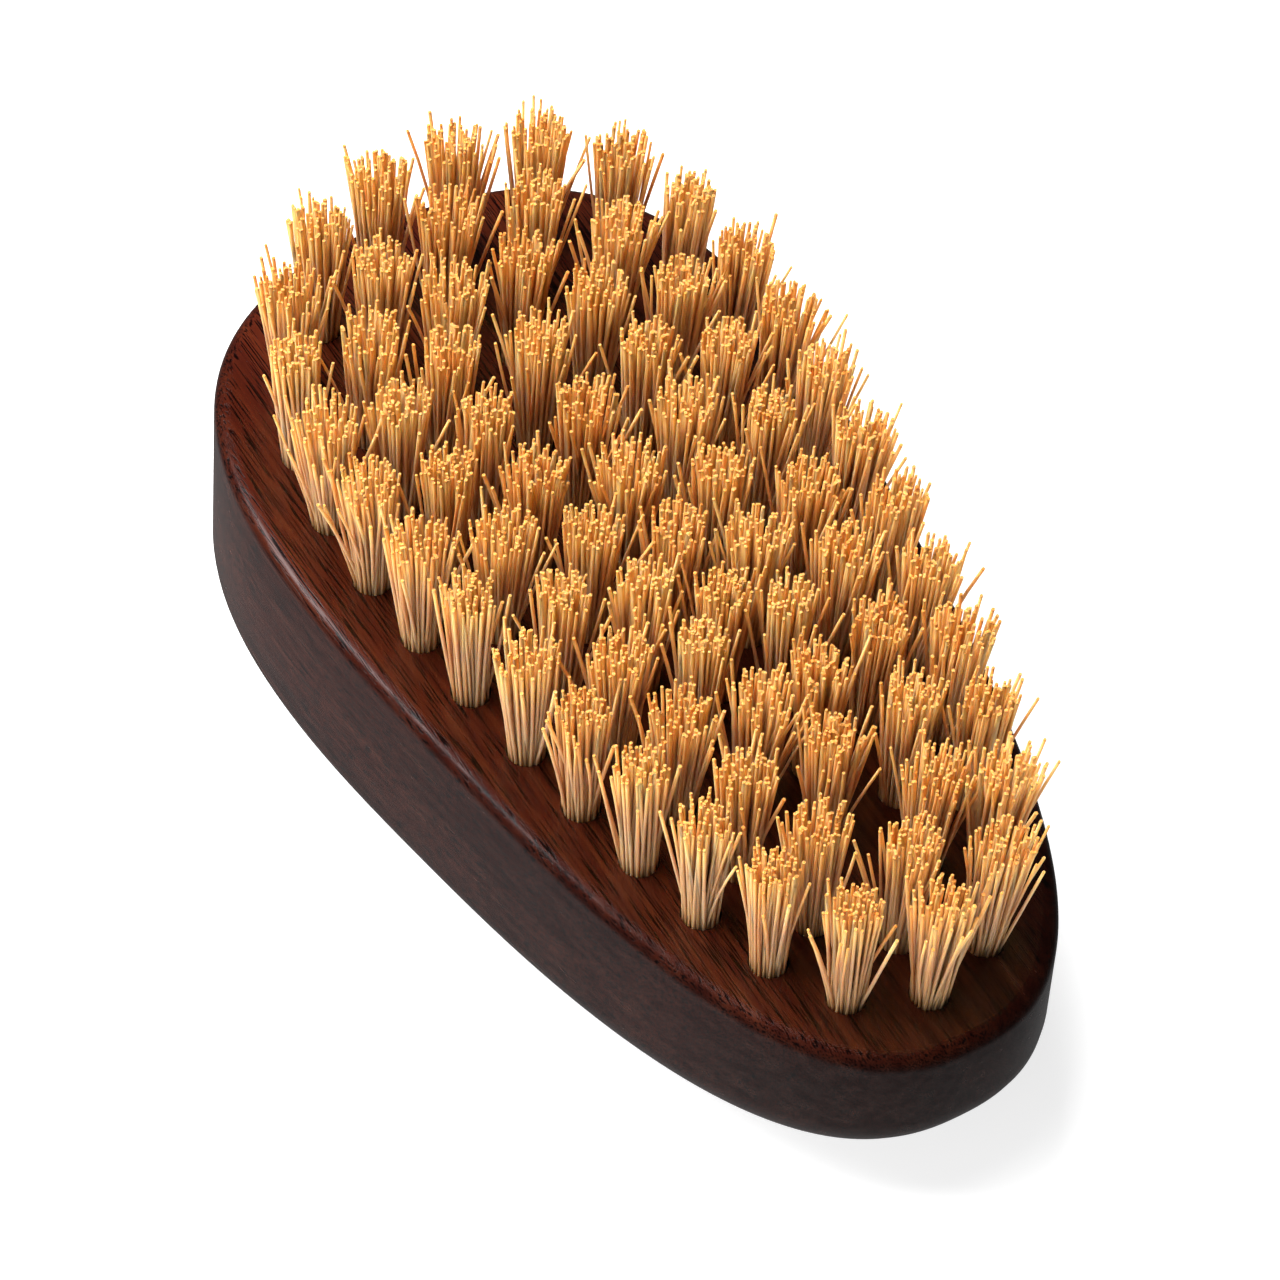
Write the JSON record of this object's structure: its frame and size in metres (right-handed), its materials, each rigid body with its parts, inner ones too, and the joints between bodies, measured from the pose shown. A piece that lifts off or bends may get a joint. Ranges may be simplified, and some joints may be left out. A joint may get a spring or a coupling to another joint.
{
  "type": "beard brush",
  "caption": "Palm-held beard brush: an egg-shaped dark wooden block with rows of stiff plant-fibre tufts on its flat face.",
  "frame": {"origin": "centre of the block's outline, on the plane that its back rests on", "axes": "+X along the block towards its broad end, +Y across it, +Z out of the bristle face"},
  "size_m": [0.1, 0.0526, 0.0399],
  "materials": {
    "wood": "dark stained, oiled and sanded, satin",
    "fibre": "stiff undyed plant fibre, trimmed level",
    "anchor_wire": "flat drawn wire, cut to length"
  },
  "bodies": {
    "root": {"block": "wood", "outer_tuft_01": "fibre", "outer_tuft_02": "fibre", "outer_tuft_03": "fibre", "outer_tuft_04": "fibre", "outer_tuft_05": "fibre", "outer_tuft_06": "fibre", "outer_tuft_07": "fibre", "outer_tuft_08": "fibre", "outer_tuft_09": "fibre", "outer_tuft_10": "fibre", "outer_tuft_11": "fibre", "outer_tuft_12": "fibre", "outer_tuft_13": "fibre", "outer_tuft_14": "fibre", "outer_tuft_15": "fibre", "outer_tuft_16": "fibre", "outer_tuft_17": "fibre", "outer_tuft_18": "fibre", "outer_tuft_19": "fibre", "outer_tuft_20": "fibre", "outer_tuft_21": "fibre", "outer_tuft_22": "fibre", "outer_tuft_23": "fibre", "outer_tuft_24": "fibre", "outer_tuft_25": "fibre", "outer_tuft_26": "fibre", "outer_tuft_27": "fibre", "outer_tuft_28": "fibre", "outer_tuft_29": "fibre", "second_tufts_01": "fibre", "second_tufts_02": "fibre", "second_tufts_03": "fibre", "second_tufts_04": "fibre", "second_tufts_05": "fibre", "second_tufts_06": "fibre", "second_tufts_07": "fibre", "second_tufts_08": "fibre", "second_tufts_09": "fibre", "second_tufts_10": "fibre", "second_tufts_11": "fibre", "third_tufts_01": "fibre", "third_tufts_02": "fibre", "third_tufts_03": "fibre", "third_tufts_04": "fibre", "third_tufts_05": "fibre", "third_tufts_06": "fibre", "third_tufts_07": "fibre", "third_tufts_08": "fibre", "third_tufts_09": "fibre", "centre_tuft_01": "fibre", "centre_tuft_02": "fibre", "centre_tuft_03": "fibre", "centre_tuft_04": "fibre", "centre_tuft_05": "fibre", "outer_anchors": "anchor_wire", "second_anchors": "anchor_wire", "third_anchors": "anchor_wire", "centre_anchors": "anchor_wire"}
  },
  "joints": []
}
